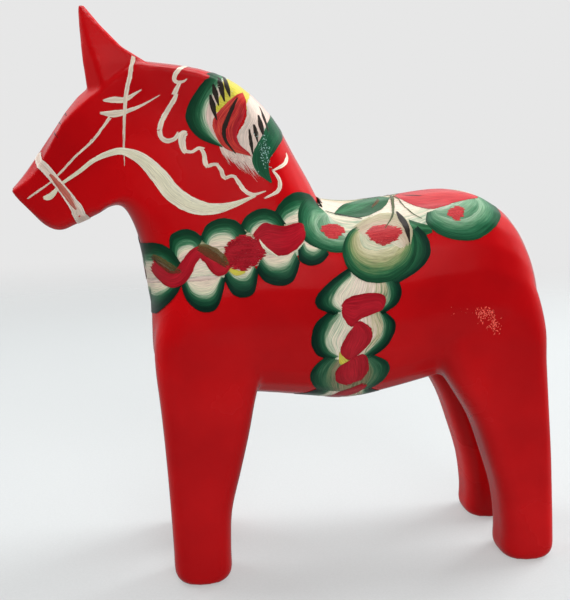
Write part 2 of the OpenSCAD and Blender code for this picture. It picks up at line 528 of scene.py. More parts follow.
def scallop(paint, finish, outer, inner, coat, heart="heart"):
    """One stroke loaded dark on its outside, round a pale heart that fills its bow."""
    bow = [[i + BOW_SHARE * (o - i) for i, o in zip(*pair)] for pair in zip(inner, outer)]
    steps = [number / (len(inner) - 1) for number in range(len(inner))]
    chord = [[a + (b - a) * t for a, b in zip(inner[0], inner[-1])] for t in steps]
    paint.fan(heart, bow, chord, coat=coat - 1)
    paint.fan(finish, outer, inner, coat=coat)


def hatch(paint, finish, left, right, count, coat):
    """A patch filled with side-by-side strokes that run from its left edge to its right."""
    left, _ = line_through(left, count)
    right, _ = line_through(right, count)
    for number, (start, end) in enumerate(zip(left, right)):
        near = number + 1 if number + 1 < count else number - 1
        gap = max(abs(left[near][1] - start[1]), abs(right[near][1] - end[1]))
        width = gap * (DEGREE_WIDTH if paint.chart == "trunk" else 1) * HATCH_OVERLAP
        slips = [paint.chance.uniform(-HATCH_SLIP, HATCH_SLIP) for _ in range(2)]
        start, end = (start[0] + slips[0], start[1]), (end[0] + slips[1], end[1])
        middle = [(a + b) / 2 for a, b in zip(start, end)]
        places = ((*start, 0.9 * width), (*middle, width), (*end, 0.85 * width))
        paint.ribbon(finish, places, coat=coat, dry=0.1)


def flecks(paint, finish, middle, spread, count, size, coat):
    """Tiny bright flecks, painted glints of light, strewn round a place, thickest in the middle."""
    for _ in range(count):
        spot = [paint.chance.gauss(at, reach) for at, reach in zip(middle, spread)]
        turn = paint.chance.random() * math.pi
        half = size * (0.4 + 0.8 * paint.chance.random())
        way = (half * math.cos(turn), half * math.sin(turn))
        tip, tail = [(spot[0] + k * way[0], spot[1] + k * way[1], 0.3) for k in (1, -1)]
        paint.ribbon(finish, (tip, (*spot, half), tail), coat=coat)


def bridle(paint):
    """Noseband, reins and the short strokes that ring the eye's place."""
    cheek = ((-69.4, 229.5, 1.8), (-71, 222, 2), (-73, 213.5, 1.8), (-74, 204, 1.3))
    paint.ribbon("strand", cheek + ((-74.5, 193, 0.9), (-74.5, 185, 0.4)), coat=1, dry=0.5)
    brow = ((-79.5, 205, 1.5), (-87, 195.7, 1.3), (-95, 188.5, 1.1), (-102.5, 181, 1))
    paint.ribbon("strand", brow + ((-106, 178, 0.8), (-112, 174, 1), (-115.5, 171.5, 0.5)), dry=0.3)
    rein = ((-101, 177.8, 1.2), (-93, 183, 1.7), (-87, 187.5, 1.9), (-80, 190.5, 2.6))
    rein += ((-74.5, 191, 3.2), (-67.5, 188, 5.2), (-60.5, 181, 7.2), (-55.5, 174.5, 7.4))
    rein += ((-48, 169.3, 7), (-40, 167.5, 5.2), (-31.5, 168.8, 3), (-20.5, 173, 0.8))
    paint.ribbon("cream", rein, coat=2, dry=0.35)
    paint.ribbon(
        "cream",
        ((-109, 172.2, 0.8), (-107, 172.2, 2.6), (-104.6, 173.6, 2.6), (-102, 177, 0.9)),
    )
    paint.ribbon("strand", ((-82.5, 211.5, 0.8), (-78, 211.8, 2.8), (-73.5, 212, 2.2), (-66.5, 216, 0.4)))
    low_lash = ((-84, 206.5, 0.8), (-78, 206.2, 3), (-73, 207.3, 2), (-66.5, 209.8, 1))
    paint.ribbon("strand", low_lash + ((-59, 214, 0.3),), dry=0.3)
    nose = ((-113.5, 192.5, 4), (-110.5, 188.5, 4.4), (-107, 184, 4.2), (-101.5, 177, 4))
    nose += ((-97.5, 171.5, 4.6), (-94.5, 166.5, 5.8), (-92.5, 162, 6.2))
    paint.ribbon("band", nose, coat=6)
    vein = ((-105.5, 182, 1), (-101.5, 177, 2.8), (-97.5, 171.3, 2.8), (-95, 167, 1))
    paint.ribbon("thin_red", vein, coat=7, dry=0.5)
    for x, z in ((-98.5, 207), (-100.3, 202.5), (-102, 198)):
        paint.ribbon("soot", ((x - 1.5, z + 1, 0.5), (x, z - 0.5, 0.9), (x + 1, z - 2, 0.4)), dry=0.8)


def mane(paint):
    """Zigzag strand, flower and leaves that hang from the crest, with painted glints of light on a leaf.
    """
    strands = (
        (
            (-46.5, 226.5, 1.2), (-50, 225, 2), (-53, 221.8, 1.9), (-52.8, 219.3, 1.9), (-49.6, 219.3, 1),
            (-48, 220.6, 0.4),
        ),
        ((-50.8, 219.6, 1.4), (-52.6, 216, 2), (-53.8, 213.6, 2.2)),
        ((-52.2, 215, 1.2), (-53.6, 212, 2), (-56, 208.3, 2.1), (-58.7, 203.5, 2.3), (-59.9, 199.5, 2.4)),
        (
            (-59.9, 200, 2.2), (-59.2, 196.8, 2.3), (-56.6, 195.4, 2), (-53.6, 196.4, 1.8),
            (-51.8, 199, 1.6),
        ),
        (
            (-48.2, 198.6, 1.2), (-50.2, 198, 3.6), (-50.8, 195.5, 3.2), (-50.2, 192, 2.6),
            (-49, 190.6, 1.8),
        ),
        ((-49.8, 191.2, 1.6), (-46.8, 191, 1.5), (-44, 192.4, 1.5), (-41.6, 191.8, 1.8)),
        ((-43.4, 192.8, 1.2), (-41.8, 190, 2.2), (-41.4, 186.6, 2.2), (-40.2, 184.6, 1.8)),
        ((-40.8, 185, 1.6), (-37.8, 185.8, 1.5), (-35.6, 185.6, 1.6)),
        ((-36.8, 186, 1.2), (-35, 183.6, 2), (-34.2, 181.2, 2), (-32.6, 179.8, 1.7)),
        ((-33.4, 180.2, 1.5), (-30.4, 181, 1.4), (-28.4, 180.2, 1.6)),
        (
            (-29.4, 181, 1.2), (-27.4, 178, 1.9), (-25.4, 175.2, 1.8), (-22, 173.4, 1.6),
            (-16.3, 174.8, 0.4),
        ),
        ((-6.6, 190.8, 0.9), (-6.2, 188.6, 1.8), (-8.4, 185.6, 1.7), (-13.6, 183, 0.8)),
        (
            (-13.6, 183.6, 0.8), (-11.2, 180.8, 1.7), (-10.2, 177.6, 2.1), (-11.6, 174.6, 1.8),
            (-17.5, 171.5, 0.5),
        ),
    )
    for strand in strands:
        paint.ribbon("strand", strand, dry=0.1)
    paint.fan(
        "pink_white",
        ((-38, 220), (-41, 215), (-42, 209.5), (-42, 203), (-38.5, 197), (-34, 192.8)),
        ((-27, 220.4), (-30, 214), (-32, 209), (-34, 204), (-33, 198), (-31, 194)),
    )
    paint.fan(
        "leaf_green",
        ((-35, 224.5), (-43.6, 217), (-48.8, 208), (-48.4, 202), (-43.5, 196.3), (-34, 192.6)),
        ((-29.5, 221.6), (-36.6, 215), (-40, 208.5), (-40.2, 203), (-37.4, 197.5), (-34, 193.2)),
        coat=2,
    )
    paint.fan(
        "yellow",
        ((-31.8, 223), (-27, 220.4), (-21.5, 216.5), (-23.4, 208)),
        ((-36.5, 209.5), (-36.5, 207), (-31, 207), (-27, 208)),
        coat=1,
    )
    paint.fan(
        "petal_red",
        (
            (-25, 215.5), (-30.5, 212.3), (-36, 207), (-38.2, 202.5), (-36.6, 197), (-32.5, 192),
            (-22, 189),
        ),
        ((-24, 212), (-24, 209), (-25, 205), (-27.5, 200), (-28, 197), (-27, 194), (-23, 190.5)),
        coat=4,
    )
    vein = ((-27.5, 213.3, 0.5), (-30, 208.4, 1.8), (-32.6, 202.5, 2.1), (-33.5, 199, 2))
    paint.ribbon("soot", vein + ((-32.5, 195, 1.4), (-28.5, 190, 0.4)), coat=5, dry=0.15)
    seeds = (
        ((-38.8, 214.5, 0.9), (-37.8, 209.5, 2.6), (-36.2, 203.6, 0.4)),
        ((-37.6, 218.5, 0.9), (-36.6, 214.6, 2.4), (-35.2, 209.4, 0.4)),
        ((-35.4, 221.6, 0.9), (-34.4, 217.2, 2.7), (-32.8, 211, 0.4)),
        ((-33.2, 222.4, 0.9), (-32, 218, 2.6), (-30.6, 213, 0.4)),
    )
    for seed in seeds:
        paint.ribbon("soot", seed, coat=5)
    paint.fan(
        "pink_white",
        ((-21.5, 217), (-16, 213), (-11.5, 207.6), (-15, 199), (-18.6, 192.5), (-22, 188)),
        ((-24, 211), (-24, 207), (-25, 203), (-27.6, 199), (-28, 196), (-25, 190)),
        coat=2,
    )
    ticks = (
        ((-17.9, 210, 0.8), (-16.2, 204.5, 2), (-14.6, 199, 0.4)),
        ((-19, 206.5, 0.8), (-18, 202, 2.8), (-16.9, 197, 0.4)),
        ((-21.1, 202.5, 0.7), (-20.2, 199, 2), (-19.5, 194.5, 0.4)),
        ((-23, 200.5, 0.7), (-22.3, 195, 1.8), (-21.6, 189.5, 0.4)),
    )
    for tick in ticks:
        paint.ribbon("soot", tick, coat=4, dry=0.4)
    paint.fan(
        "leaf_mottled",
        ((-12, 208), (-6, 200.4), (-10.6, 193), (-14.4, 188), (-14.8, 183), (-13.6, 178)),
        ((-15, 203), (-17.5, 198), (-21, 192), (-22, 187), (-19.6, 182), (-14.2, 178)),
        coat=3,
    )
    # Painted reflection: pale flecks over the mottled leaf stand for glints of light.
    flecks(paint, "glint_fleck", (-17, 193), (1.3, 3.2), count=110, size=0.5, coat=6)
    flecks(paint, "glint_fleck", (-15.5, 188), (1, 2.6), count=60, size=0.45, coat=6)
    tails = (
        ((-34.5, 195, 3), (-31.6, 189.4, 4.4), (-27, 183.6, 3.4)),
        ((-31.5, 194, 3.4), (-27.5, 187.5, 5), (-21.8, 180.6, 3.4)),
        ((-28, 192.5, 3.4), (-25, 187, 5), (-19, 178.6, 3)),
        ((-24.5, 192, 3.4), (-22.5, 187, 4.6), (-17.4, 178, 2.2)),
    )
    for tail in tails:
        paint.ribbon("pink_white", tail, coat=1, dry=0.9)


def collar(paint):
    """Band of scallops round the chest with a crimson wave between the two rows."""
    paint.fan(
        "cream_olive",
        ((-76, 147), (-66, 147.5), (-54, 151.5), (-41, 157), (-25, 160), (-10, 165.5), (3, 168)),
        ((-76, 133), (-65, 133), (-50, 136), (-38, 137), (-20, 144), (-6, 146), (4, 153)),
    )
    upper = (
        (
            ((-14, 164), (-10.5, 170), (-4, 174), (4, 173), (8, 169)),
            ((-9.5, 161), (-7, 163.5), (-2, 165), (3, 165), (5, 163)),
        ),
        (
            ((-28, 160), (-24.5, 165), (-18, 167.8), (-12, 166), (-8, 161)),
            ((-23, 157), (-21.5, 159.5), (-17.5, 161), (-14, 160), (-12, 157)),
        ),
        (
            ((-44.5, 155), (-41.5, 161), (-35.5, 163.8), (-29, 162.6), (-24.5, 157.5)),
            ((-41, 152), (-39.6, 155), (-36, 156.6), (-31.8, 156), (-29, 152)),
        ),
        (
            ((-57, 150), (-56.5, 156.5), (-52, 159.2), (-47, 158.8), (-42.5, 155.5)),
            ((-53.4, 147), (-53, 149.6), (-51, 151.2), (-48, 151.6), (-46, 150)),
        ),
        (
            ((-77, 149), (-70, 152), (-63.5, 153.6), (-56.5, 151), (-50.5, 142.5)),
            ((-76, 141), (-69, 143), (-64, 144.5), (-60, 144), (-55, 139)),
        ),
    )
    lower = (
        (
            ((-3, 150), (-2.5, 145.5), (2, 143.2), (7, 144.3), (11, 148)),
            ((0, 153), (1.6, 150.4), (4, 149.6), (6, 150.4), (8, 152)),
        ),
        (
            ((-21.5, 142), (-17.5, 137), (-11.5, 135.2), (-5.5, 137), (-2, 145)),
            ((-18.8, 148), (-15.8, 144.4), (-11.5, 143.4), (-7.5, 145), (-4.2, 149.5)),
        ),
        (
            ((-35, 139), (-31.5, 132.4), (-26.6, 130.6), (-22, 133), (-20, 142)),
            ((-33, 143.5), (-30.5, 140.6), (-27, 139.4), (-24.5, 140.6), (-22.4, 144)),
        ),
        (
            ((-53, 137.5), (-50.4, 129.6), (-44, 124.8), (-37.5, 127), (-33.6, 139.5)),
            ((-50, 138), (-47.8, 134), (-44, 132.4), (-39.4, 134), (-36, 139.5)),
        ),
        (
            ((-78, 126), (-70, 122.3), (-62.5, 123.4), (-55.5, 130.5), (-50.5, 140)),
            ((-76, 134), (-69, 132), (-63.5, 132), (-58.8, 134.4), (-54.5, 139)),
        ),
    )
    for coat, (outer, inner) in enumerate(upper, 2):
        scallop(paint, "leaf_green", outer, inner, coat)
    for coat, (outer, inner) in enumerate(lower, 2):
        scallop(paint, "leaf_dark", outer, inner, coat)
    softened = (
        ((-74, 134.5, 1.8), (-65, 136.6, 2.4), (-56, 138.6, 1.8)),
        ((-50.6, 138.2, 1.8), (-44, 138.9, 2.4), (-37, 139.4, 1.8)),
    )
    for stroke in softened:
        paint.ribbon("pink_white", stroke, coat=6)
    wave = ((-64.6, 144.4, 6.4), (-60.6, 140.6, 7.4), (-56, 138, 7.6), (-51.8, 140.8, 7), (-48, 147, 5.6))
    wave += ((-44.4, 150, 5), (-40, 147, 6.6), (-36.5, 143.2, 7.4), (-33.4, 145, 5), (-32.5, 149, 4))
    paint.ribbon("crimson", wave, coat=8)
    first_shade = ((-64.5, 148, 2), (-60.5, 145.4, 4.4), (-56, 142.6, 4), (-51.4, 141.6, 1))
    paint.ribbon("thin_olive", first_shade, coat=9, dry=0.6)
    second_shade = ((-46, 152, 2), (-41, 150.2, 5.4), (-36, 147, 5), (-32.6, 143.4, 2))
    paint.ribbon("thin_olive", second_shade, coat=9, dry=0.2)
    hatch(
        paint, "crimson",
        ((-28.5, 156), (-32.4, 153.6), (-34.8, 150), (-34.4, 146), (-30, 142.6)),
        ((-24.5, 156.2), (-19.6, 153.8), (-16.6, 151), (-18, 147), (-24, 142.8)),
        count=14, coat=9,
    )
    paint.fan(
        "crimson",
        ((-23, 155.5), (-20.5, 159.4), (-17, 161.8), (-10, 160.4), (-2.4, 161.4), (0.4, 160)),
        ((-19.6, 152), (-15.5, 149.6), (-10.5, 147.6), (-5, 149.3), (-0.6, 153), (1, 157)),
        coat=10,
    )
    paint.ribbon("cream", ((-19.8, 154.8, 0.5), (-17, 151, 1.6), (-11.5, 147.2, 0.6)), coat=11)
    paint.ribbon("yellow", ((-33.4, 143.4, 1.2), (-29.5, 141, 2.6), (-25.5, 141.4, 0.8)), coat=7, dry=0.3)
    on_the_chest = (
        (
            "cream_olive", ((17, 147), (8, 147.6), (-0.4, 147.8)), ((17, 133), (8, 132.4), (-0.4, 132.2)),
            0,
        ),
        (
            "leaf_green",
            ((17, 148.6), (11, 152.4), (5, 154.8), (-0.4, 155.2)),
            ((17, 141.4), (11, 143.4), (5, 144.8), (-0.4, 145)),
            7,
        ),
        (
            "leaf_dark",
            ((17, 126.6), (11, 122.8), (5, 120.8), (-0.4, 120.4)),
            ((17, 133.8), (11, 132.8), (5, 132), (-0.4, 131.8)),
            7,
        ),
        (
            "crimson",
            ((13, 141), (9, 144), (4, 145.4), (-0.4, 145.6)),
            ((13, 138.5), (9, 135.8), (4, 134.6), (-0.4, 134.4)),
            9,
        ),
    )
    paint.chart = "front"
    for finish, outer, inner, coat in on_the_chest:
        paint.fan(finish, outer, inner, coat=coat)


def saddle(paint):
    """Three apples, leaves and a petal over the back."""
    paint.chart = "trunk"
    paint.fan(
        "cream_olive",
        ((10, -4), (18, -4), (30, -4), (45, -4), (62, -4), (80, -4), (88, 2)),
        ((7, 28), (15, 39), (28, 41), (45, 40), (56, 36), (74, 26), (88, 14)),
    )
    apple = (
        ((9, 17), (2.4, 23.5), (-2.2, 31), (-2.2, 38), (1, 43), (8, 47.5), (16, 49), (21, 46)),
        ((12, 24), (9, 27), (7, 31), (7.5, 35), (9, 38), (12, 40), (16, 41), (20, 40)),
    )
    scallop(paint, "apple_green", *apple, coat=3, heart="heart_green")
    hatch(
        paint, "petal_pink", ((10.5, 31.6), (7.6, 34.5), (10, 39.4)),
        ((16, 31.6), (19.6, 34.5), (15.6, 39.4)), count=10, coat=4,
    )
    twig = ((11.5, 21, 0.4), (13, 22, 0.7), (15.5, 23, 0.9), (20, 24.5, 0.8), (28, 27, 0.4))
    paint.ribbon("soot", twig, coat=4)
    paint.fan(
        "leaf_plain",
        ((15, 23.5), (19, 16), (24.5, 9), (33, 2), (40, 1), (44, 7)),
        ((15.4, 24), (20, 25), (27, 26), (33.5, 23.5), (39.5, 18), (43.6, 9)),
        coat=4,
    )
    paint.ribbon("thin_olive", ((38.5, 6, 0.6), (37, 12, 2), (33, 18.5, 0.5)), coat=5)
    paint.fan(
        "leaf_deep",
        ((51, 35), (54.6, 41), (55.6, 48), (54.6, 54), (49.5, 61.5), (40, 69.5)),
        ((47, 39), (48.4, 43), (48.4, 50), (46, 56), (42, 61), (36, 66)),
        coat=3,
    )
    apple = (
        (
            (46.5, 31), (49.4, 41), (48.8, 52), (44.5, 61), (36, 68), (26, 67.5), (18.5, 59), (16.6, 47),
            (20.5, 36), (28, 29.5),
        ),
        (
            (42, 33), (42.5, 37), (42, 42), (39, 46), (35, 47.5), (30, 47.5), (26, 45), (25, 40),
            (26, 36), (31, 32),
        ),
    )
    scallop(paint, "apple", *apple, coat=6)
    paint.fan(
        "apple_light",
        ((22, 33), (29, 27), (38, 24), (46, 28), (48.6, 37), (47, 46)),
        ((27, 40), (31, 40), (34, 42), (37, 44), (40, 46), (43, 48)),
        coat=7,
    )
    hatch(
        paint, "petal_pink",
        ((31, 33.4), (27.4, 37), (30, 41.6), (33.6, 44.4)),
        ((38.6, 32.8), (43.6, 36.6), (41.4, 41.6), (37.6, 44.4)),
        count=14, coat=8,
    )
    stems = (
        ((45.5, 2, 1), (44.5, 9, 1.8), (43.2, 17, 1.6), (41, 27, 1), (36.5, 35, 0.4)),
        ((46.5, 3, 0.7), (46.6, 12, 0.8), (47.5, 20, 0.8), (50, 26.5, 0.7), (54, 31, 0.4)),
    )
    for stem in stems:
        paint.ribbon("stem", stem, coat=9)
    bud = ((43.2, 24, 0.7), (44.6, 29, 2.8), (46, 35, 2.8), (46.6, 45, 0.4))
    paint.ribbon("soot", bud, coat=10)
    apple = (
        ((90, 3), (94, 14), (92, 27), (85.5, 38), (77, 44.6), (68, 45), (60, 41), (55.2, 34), (56.6, 27)),
        ((80, 12), (82, 18), (81, 25), (77, 30), (73, 32.5), (68, 33), (64, 31), (61, 29), (60.4, 26)),
    )
    scallop(paint, "apple_green", *apple, coat=3, heart="heart_green")
    hatch(
        paint, "petal_pink", ((68.6, 25.4), (65, 28.6), (67, 33)),
        ((73.6, 25.4), (73.8, 28.6), (70.6, 33)), count=10, coat=4,
    )
    paint.fan(
        "petal_pink",
        ((45.5, 5), (54, -2), (64, -3), (74, 3), (85, 13)),
        ((46, 9), (52, 21), (60, 25.5), (71, 22), (84, 15)),
        coat=5,
    )
    paint.ribbon("soot", ((50, 6, 0.7), (53, 9.5, 1.6), (57.5, 13, 0.4)), coat=6)
    paint.fan(
        "leaf_plain", ((47.5, 30), (52, 33), (57.5, 36)), ((47.5, 40), (52, 41.5), (57.5, 39.5)), coat=1,
    )


def girth(paint):
    """Column of paired scallops and a crimson twist down the flank and under the belly."""
    paint.chart = "trunk"
    paint.fan(
        "cream_olive",
        ((34, 60), (38, 75), (33, 88), (36, 105), (30, 118), (34, 135), (31, 150), (32, 184)),
        ((18, 60), (8, 75), (12, 88), (6, 105), (10, 118), (7, 135), (9, 150), (6, 184)),
    )
    left = (
        (((8, 186), (-1, 172), (1, 158), (7, 146)), ((16, 184), (11, 172), (11, 160), (14, 148))),
        (((9, 117), (3.5, 126), (3, 136), (8, 149)), ((14.5, 120), (12, 128), (12.5, 138), (15.5, 147))),
        (
            ((10.5, 86), (3.8, 95), (2, 107), (4.5, 116), (11, 121)),
            ((15, 89), (11, 98), (9.5, 106), (11, 113), (15, 118)),
        ),
        (
            ((20, 57), (11, 66), (4.4, 76), (4.6, 84), (12, 90)),
            ((20, 64), (15, 71), (12.5, 77), (12.5, 82), (16, 87)),
        ),
    )
    right = (
        (((32, 147), (38, 157), (39, 170), (30, 186)), ((28, 148), (29, 158), (29, 170), (24, 184))),
        (
            ((29, 116.5), (37.4, 124), (37.8, 136), (32, 148)),
            ((26, 119), (29.5, 127), (29.5, 136), (27, 145)),
        ),
        (
            ((34, 87), (39, 95), (38.8, 104), (35, 113.5), (27.5, 120.5)),
            ((32, 89), (33.5, 97), (32.5, 105), (29.5, 111), (25.5, 117)),
        ),
        (
            ((32, 57), (38.6, 63.5), (42, 73), (40, 83), (33, 90.5)),
            ((31, 63), (34.5, 68), (35.5, 75), (34.6, 82), (31, 87)),
        ),
    )
    paint.fan(
        "heart_olive", ((10, 120), (6, 130), (8, 140), (12, 149)),
        ((32, 119), (34, 130), (33, 140), (30, 148)), coat=1,
    )
    for number, (outer, inner) in enumerate(left + right):
        finish = "leaf_mixed" if number in (1, 5) else "leaf_dark"
        paint.fan(finish, outer, inner, coat=2)
    twist = (
        (
            ((15, 83), (18, 78), (25, 75), (33, 75.5), (35, 80), (33.8, 86.5)),
            ((15.2, 86), (16, 92), (19.6, 98.4), (22.8, 94), (28, 90.5), (33.6, 87)),
        ),
        (
            ((20.6, 95), (24, 94.4), (28.4, 99), (29.3, 105), (27, 112), (20, 121)),
            ((20.4, 98.6), (18.6, 101.5), (16.4, 107), (15, 113), (15.8, 117), (19, 121)),
        ),
        (
            ((20.6, 119), (25.6, 116.6), (28.2, 122), (28.5, 129), (26, 137)),
            ((18.6, 121.5), (14.6, 126), (13.6, 132), (15.4, 138), (20.6, 141)),
        ),
    )
    for coat, (outer, inner) in enumerate(twist, 4):
        paint.fan("crimson", outer, inner, coat=coat)
    tail = ((29, 140, 3), (25, 146, 7), (20, 153, 8), (17, 164, 7), (18, 182, 5))
    paint.ribbon("crimson", tail, coat=4, dry=0.3)
    paint.fan(
        "yellow", ((14.4, 114.5), (17.4, 118), (20, 121.5)), ((14.6, 118), (14.8, 121.5), (15.6, 124.5)),
        coat=3,
    )


def haunch_highlights(paint):
    """Painted highlights on the haunch: bright flecks that stand for glints of light reflected in the
    varnish.
    """
    flecks(paint, "highlight_fleck", (80.5, 121), (2.3, 1.6), count=120, size=0.7, coat=0)
    flecks(paint, "highlight_fleck", (84.5, 116.5), (1.5, 2.2), count=80, size=0.7, coat=0)
    flecks(paint, "highlight_fleck", (70, 122), (5, 0.9), count=34, size=0.35, coat=0)


# ------------------------------------------------------------------ materials


def lacquer_material():
    """Red paint under clear gloss varnish, brushed over a knife-cut surface."""
    material, tree, shader = new_material("red_lacquer")
    place = tree.nodes.new("ShaderNodeNewGeometry").outputs["Position"]
    mottle = noise(tree, place, 22, detail=4)
    colour = ramp(tree, mottle, ((0.3, linear(170, 6, 12)), (0.7, linear(198, 8, 14))))
    streak_map = add_node(tree, "ShaderNodeMapping", Scale=(90, 300, 40))
    tree.links.new(place, streak_map.inputs["Vector"])
    streak = noise(tree, streak_map.outputs[0], 1.0, detail=5, roughness=0.6)
    colour = mix_colour(tree, math_node(tree, "MULTIPLY", streak, 0.16), colour, linear(128, 4, 10))
    tree.links.new(colour, shader.inputs["Base Color"])
    rough = math_node(tree, "ADD", 0.2, math_node(tree, "MULTIPLY", mottle, 0.12))
    tree.links.new(rough, shader.inputs["Roughness"])
    set_up(shader, Coat_Weight=0.3, Coat_Roughness=0.06, Coat_IOR=1.35, Specular_IOR_Level=0.22)
    facet = noise(tree, place, 45, detail=1)
    peel = noise(tree, place, 420, detail=2)
    relief = bump(tree, facet, 0.9 * MM)
    relief = bump(tree, streak, 0.06 * MM, normal=relief)
    relief = bump(tree, peel, 0.03 * MM, normal=relief)
    tree.links.new(relief, shader.inputs["Normal"])
    return material


def bare_pine_material():
    """Pine end of the blank, seen only where the boards meet."""
    material, tree, shader = new_material("bare_pine")
    place = tree.nodes.new("ShaderNodeNewGeometry").outputs["Position"]
    rings = add_node(tree, "ShaderNodeTexWave", Scale=60, Distortion=4, Detail=3)
    tree.links.new(place, rings.inputs["Vector"])
    colour = ramp(tree, rings.outputs[1], ((0.1, linear(214, 178, 128)), (0.9, linear(190, 146, 96))))
    tree.links.new(colour, shader.inputs["Base Color"])
    set_up(shader, Roughness=0.7)
    return material


def brush_material(name, stops, blend=0.5, thin=0.0, ragged=0.6):
    """Brush paint whose colours run across the stroke in hair-fine streaks.

    blend is how far the streaks carry one colour into the next, thin how much of what
    lies below shows between them, and ragged how far, in mm, the hairs part at the ends.
    """
    material, tree, shader = new_material(name)
    parts = []
    for key in ("stroke", "touch"):
        source = add_node(tree, "ShaderNodeAttribute", attribute_name=key)
        split = tree.nodes.new("ShaderNodeSeparateXYZ")
        tree.links.new(source.outputs["Vector"], split.inputs[0])
        parts += list(split.outputs)
    along, across, share, side, end, wet = parts

    def maths(operation, a, b):
        return math_node(tree, operation, a, b)

    def scaled(value, least, factor):
        return maths("MULTIPLY", maths("SUBTRACT", value, least), factor)

    def hairs(along_scale, across_scale, detail):
        place = tree.nodes.new("ShaderNodeCombineXYZ")
        tree.links.new(maths("MULTIPLY", along, along_scale), place.inputs[0])
        tree.links.new(maths("MULTIPLY", across, across_scale), place.inputs[1])
        return noise(tree, place.outputs[0], 1.0, detail=detail, roughness=0.6)

    broad = hairs(0.07, 0.9, 4)
    fine = hairs(0.14, 2.6, 3)
    tuft = hairs(0.3, 1.3, 3)
    load = maths("ADD", share, scaled(broad, 0.5, 1.8 * blend))
    colour = ramp(tree, load, [(place, linear(*tint)) for place, tint in stops])
    shade = ramp(tree, fine, ((0.34, grey(0.74)), (0.66, grey(1.2))))
    colour = mix_colour(tree, 1.0, colour, shade, blend="MULTIPLY")
    tree.links.new(colour, shader.inputs["Base Color"])

    # Edges break into hairs, and a dry end lets go where the hairs carry least paint.
    side_left = maths("SUBTRACT", side, scaled(tuft, 0.42, 0.4 + 0.8 * ragged))
    end_left = maths("SUBTRACT", end, scaled(tuft, 0.38, 4 * ragged))
    rim = maths("MINIMUM", side_left, end_left)
    paint_left = maths("SUBTRACT", wet, scaled(fine, 0.22, 1.7))
    held = maths("ADD", maths("MULTIPLY", paint_left, 7.0), 0.5)
    cover = maths("MINIMUM", maths("MULTIPLY", rim, 9.0), held)
    gap = maths("MULTIPLY", maths("SUBTRACT", 1.0, broad), 2 * thin)
    cover = maths("MINIMUM", cover, maths("SUBTRACT", 1.0, gap))
    tree.links.new(maths("MAXIMUM", cover, 0.0), shader.inputs["Alpha"])

    relief = bump(tree, fine, 0.05 * MM)
    relief = bump(tree, maths("MINIMUM", rim, 0.5), 0.1 * MM, normal=relief)
    tree.links.new(relief, shader.inputs["Normal"])
    rough = maths("ADD", 0.24, maths("MULTIPLY", broad, 0.2))
    tree.links.new(rough, shader.inputs["Roughness"])
    set_up(shader, Coat_Weight=0.3, Coat_Roughness=0.08, Coat_IOR=1.35, Specular_IOR_Level=0.25)
    return material


DARK_GREEN = (14, 58, 36)
PALE_GREEN = (164, 186, 158)
CREAM = (228, 220, 196)
PINK_WHITE = (234, 212, 198)

